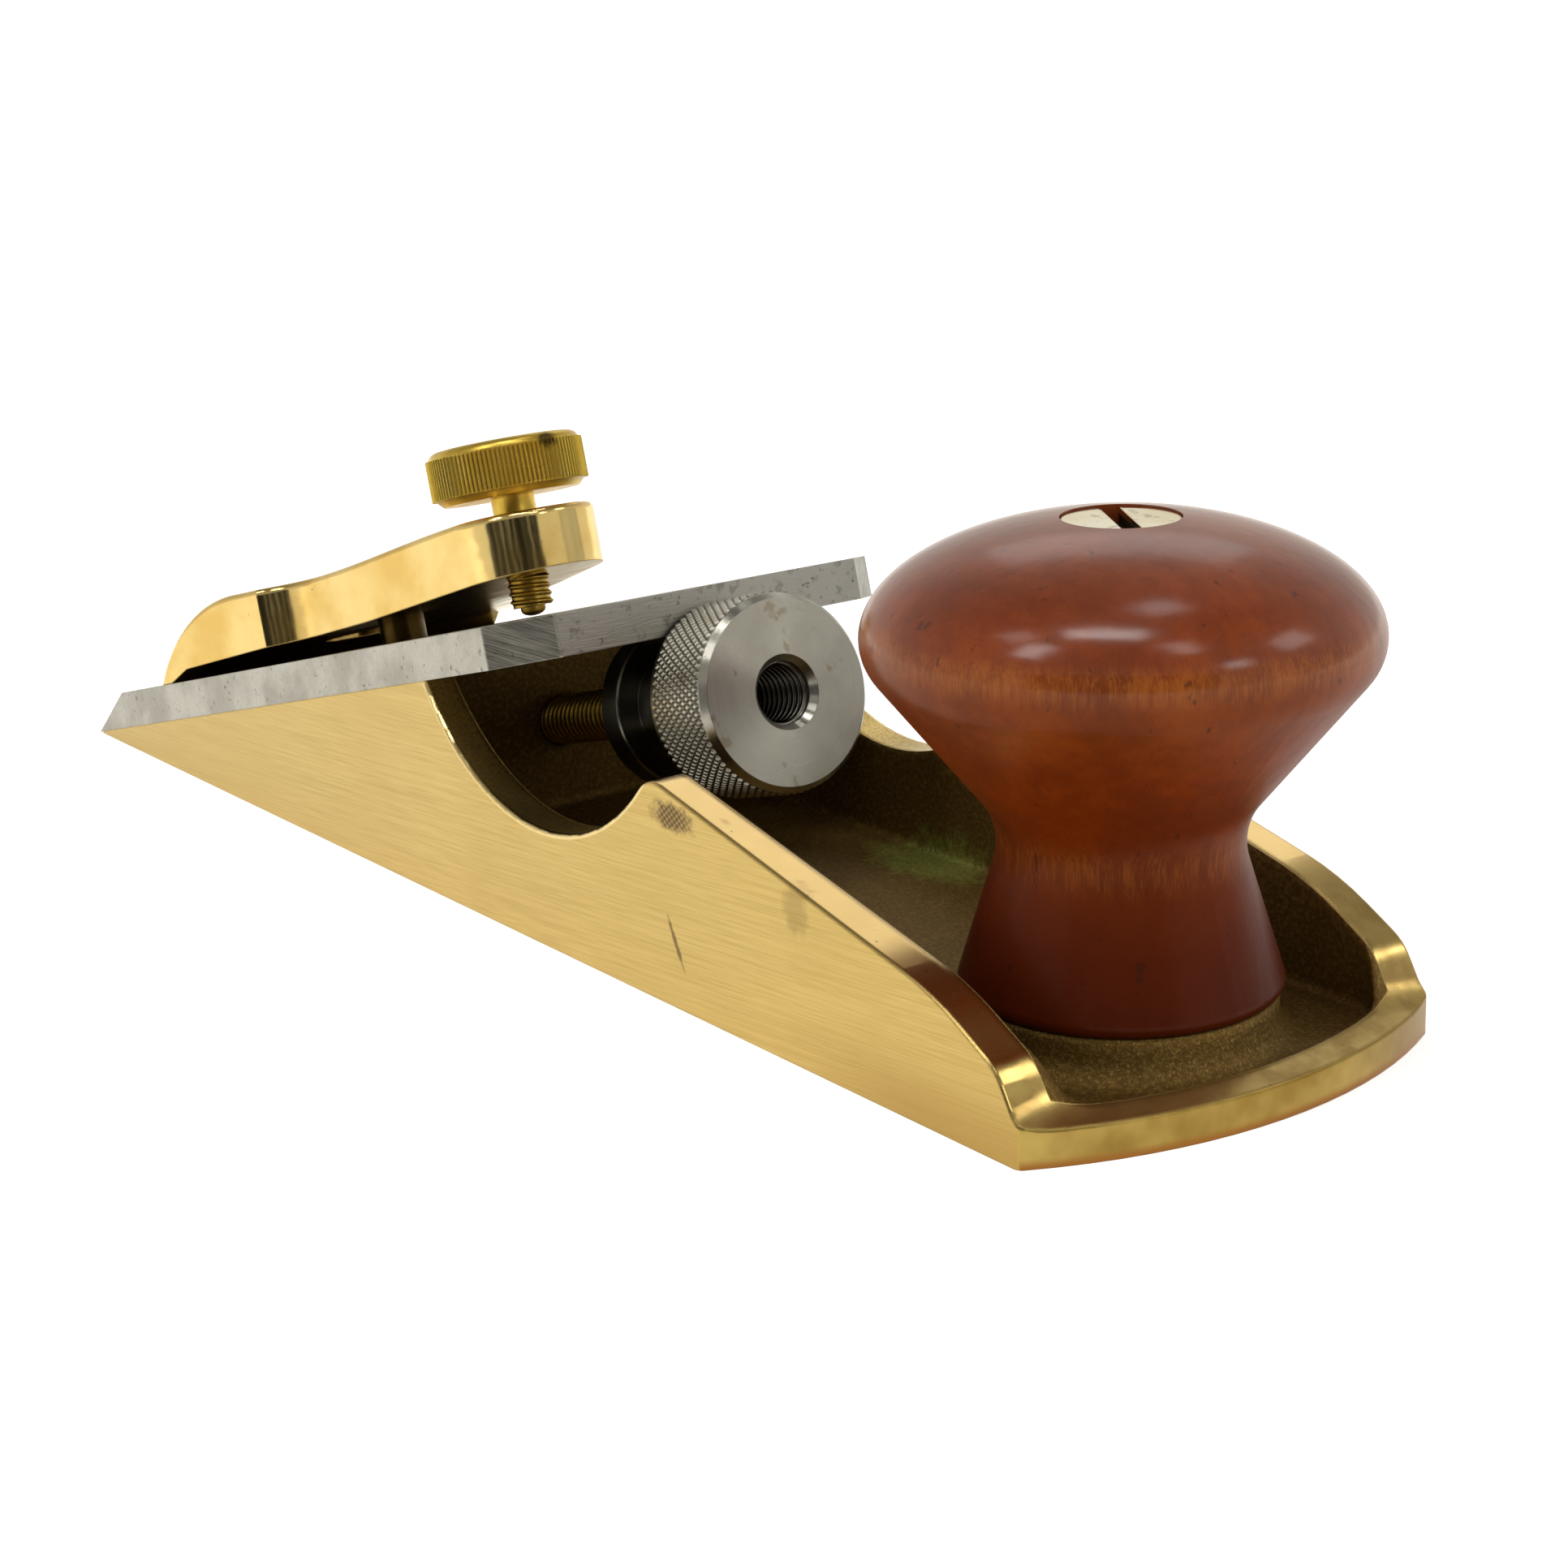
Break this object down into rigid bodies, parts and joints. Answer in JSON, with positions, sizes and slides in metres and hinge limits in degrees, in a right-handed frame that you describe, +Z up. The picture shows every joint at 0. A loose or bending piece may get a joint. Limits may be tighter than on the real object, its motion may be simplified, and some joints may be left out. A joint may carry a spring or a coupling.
{
  "type": "hand plane",
  "caption": "Small bevel-up chisel plane: scalloped bronze body, steel blade under a brass lever cap, knurled depth adjuster and a turned wooden knob.",
  "frame": {"origin": "middle of the flat sole, halfway from the cutting edge to the heel", "axes": "+X from the cutting edge to the heel, +Z up from the sole, +Y to the right of someone who looks from the heel towards the edge"},
  "size_m": [0.1623, 0.0412, 0.0417],
  "materials": {
    "bronze": "satin brushed outside, rough cast inside",
    "tool_steel": "ground, fine lines",
    "polished_brass": "polished",
    "brass": "turned, slightly dull",
    "stainless": "turned and knurled",
    "cherry": "semi-gloss oil"
  },
  "bodies": {
    "body": {"body": "bronze", "adjuster_stud": "brass", "cap_screw": "brass", "knob": "cherry", "knob_stud": "brass", "knob_nut": "polished_brass"},
    "blade": {"blade": "tool_steel"},
    "adjuster": {"adjuster_wheel": "stainless"},
    "lever_cap": {"lever_cap": "polished_brass"},
    "thumb_screw": {"thumb_screw": "brass"}
  },
  "joints": [
    {"name": "blade_slide", "type": "slide", "parent": "body", "child": "blade", "axis": [0.9659, 0, 0.2588], "range_m": [-0.0006, 0.0024]},
    {"name": "adjuster_turn", "type": "hinge", "parent": "blade", "child": "adjuster", "pos_m": [0.01613, 0, 0.01913], "axis": [0.9659, 0, 0.2588], "range_deg": [-275, 1095]},
    {"name": "cap_slide", "type": "slide", "parent": "body", "child": "lever_cap", "axis": [0.9659, 0, 0.2588], "range_m": [0, 0.007]},
    {"name": "thumb_turn", "type": "hinge", "parent": "lever_cap", "child": "thumb_screw", "pos_m": [-0.0209, 0, 0.01977], "axis": [-0.2588, 0, 0.9659], "range_deg": [0, 720]}
  ],
  "couplings": [
    {"joint": "adjuster_turn", "follows": "blade_slide", "rad_per_m": 7913.4}
  ]
}
